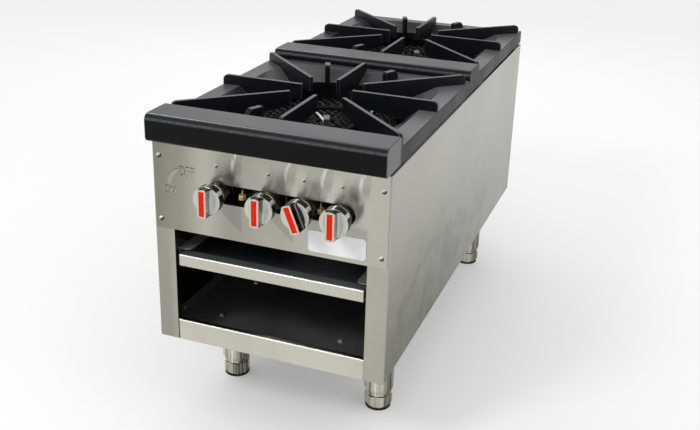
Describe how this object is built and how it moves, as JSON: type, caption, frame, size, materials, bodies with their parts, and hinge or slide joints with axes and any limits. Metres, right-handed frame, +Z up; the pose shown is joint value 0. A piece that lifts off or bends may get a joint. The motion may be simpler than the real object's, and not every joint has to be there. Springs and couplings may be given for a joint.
{
  "type": "stock pot range",
  "caption": "Floor-standing gas stock pot range: two ring burners one behind the other under ribbed cast-iron grates, knobs on the front, a drip tray and an open storage bay on legs.",
  "frame": {"origin": "on the floor under the middle of the whole range's bounding box", "axes": "+X to the right seen from the front, +Y to the back, +Z up"},
  "size_m": [0.4572, 1.1508, 0.632],
  "materials": {
    "stainless": "brushed stainless sheet",
    "coated_steel": "aluminised steel sheet",
    "polished_steel": "polished",
    "screw_steel": "bright",
    "black_iron": "satin black enamel",
    "burner_iron": "bare cast iron",
    "brass": "machined",
    "pipe_black": "black pipe",
    "tube_aluminium": "drawn",
    "knob_metal": "satin face, polished skirt",
    "knob_red": "gloss red"
  },
  "bodies": {
    "range": {"back_panel": "stainless", "back_panel_screws": "screw_steel", "base_pan": "coated_steel", "bezel_rings": "brass", "bottom_front_rail": "stainless", "burner_inner_front": "burner_iron", "burner_inner_rear": "burner_iron", "burner_outer_front": "burner_iron", "burner_outer_rear": "burner_iron", "burner_rail_left": "coated_steel", "burner_rail_right": "coated_steel", "control_panel": "stainless", "control_panel_screws": "screw_steel", "floor_bolts": "screw_steel", "front_channel": "coated_steel", "gas_valve_1": "brass", "gas_valve_2": "brass", "gas_valve_3": "brass", "gas_valve_4": "brass", "heat_shield_left": "coated_steel", "heat_shield_right": "coated_steel", "leg_front_left": "polished_steel", "leg_front_right": "polished_steel", "leg_plates": "coated_steel", "leg_rear_left": "polished_steel", "leg_rear_right": "polished_steel", "manifold_pipe": "pipe_black", "middle_baffle": "coated_steel", "name_plate": "tube_aluminium", "pan_side_rivets": "screw_steel", "pilot_tubes": "tube_aluminium", "pilot_valves": "brass", "rear_channel": "coated_steel", "rear_gas_lines": "tube_aluminium", "side_panel_left": "stainless", "side_panel_right": "stainless", "small_panel_screws": "screw_steel", "supply_pipe": "pipe_black", "tray_runner_left": "stainless", "tray_runner_right": "stainless"},
    "knob_1": {"knob_1": "knob_metal", "knob_insert_1": "knob_red", "valve_stem_1": "screw_steel"},
    "knob_2": {"knob_2": "knob_metal", "knob_insert_2": "knob_red", "valve_stem_2": "screw_steel"},
    "knob_3": {"knob_3": "knob_metal", "knob_insert_3": "knob_red", "valve_stem_3": "screw_steel"},
    "knob_4": {"knob_4": "knob_metal", "knob_insert_4": "knob_red", "valve_stem_4": "screw_steel"},
    "tray": {"drip_tray": "stainless"},
    "grate_front": {"grate_front": "black_iron"},
    "grate_rear": {"grate_rear": "black_iron"},
    "foot_front_left": {"foot_front_left": "polished_steel"},
    "foot_front_right": {"foot_front_right": "polished_steel"},
    "foot_rear_left": {"foot_rear_left": "polished_steel"},
    "foot_rear_right": {"foot_rear_right": "polished_steel"}
  },
  "joints": [
    {"name": "knob_1_turn", "type": "hinge", "parent": "range", "child": "knob_1", "pos_m": [-0.099, -0.5164, 0.4927], "axis": [0, -1, 0], "range_deg": [0, 90]},
    {"name": "knob_2_turn", "type": "hinge", "parent": "range", "child": "knob_2", "pos_m": [0.002, -0.5164, 0.4927], "axis": [0, -1, 0], "range_deg": [0, 90]},
    {"name": "knob_3_turn", "type": "hinge", "parent": "range", "child": "knob_3", "pos_m": [0.07, -0.5164, 0.4927], "axis": [0, -1, 0], "range_deg": [-22, 68]},
    {"name": "knob_4_turn", "type": "hinge", "parent": "range", "child": "knob_4", "pos_m": [0.141, -0.5164, 0.4927], "axis": [0, -1, 0], "range_deg": [0, 90]},
    {"name": "tray_slide", "type": "slide", "parent": "range", "child": "tray", "axis": [0, -1, 0], "range_m": [0, 0.55]},
    {"name": "grate_front_lift", "type": "slide", "parent": "range", "child": "grate_front", "axis": [0, 0, 1], "range_m": [0, 0.2]},
    {"name": "grate_rear_lift", "type": "slide", "parent": "range", "child": "grate_rear", "axis": [0, 0, 1], "range_m": [0, 0.2]},
    {"name": "foot_front_left_level", "type": "slide", "parent": "range", "child": "foot_front_left", "axis": [0, 0, -1], "range_m": [0, 0.03]},
    {"name": "foot_front_right_level", "type": "slide", "parent": "range", "child": "foot_front_right", "axis": [0, 0, -1], "range_m": [0, 0.03]},
    {"name": "foot_rear_left_level", "type": "slide", "parent": "range", "child": "foot_rear_left", "axis": [0, 0, -1], "range_m": [0, 0.03]},
    {"name": "foot_rear_right_level", "type": "slide", "parent": "range", "child": "foot_rear_right", "axis": [0, 0, -1], "range_m": [0, 0.03]}
  ]
}
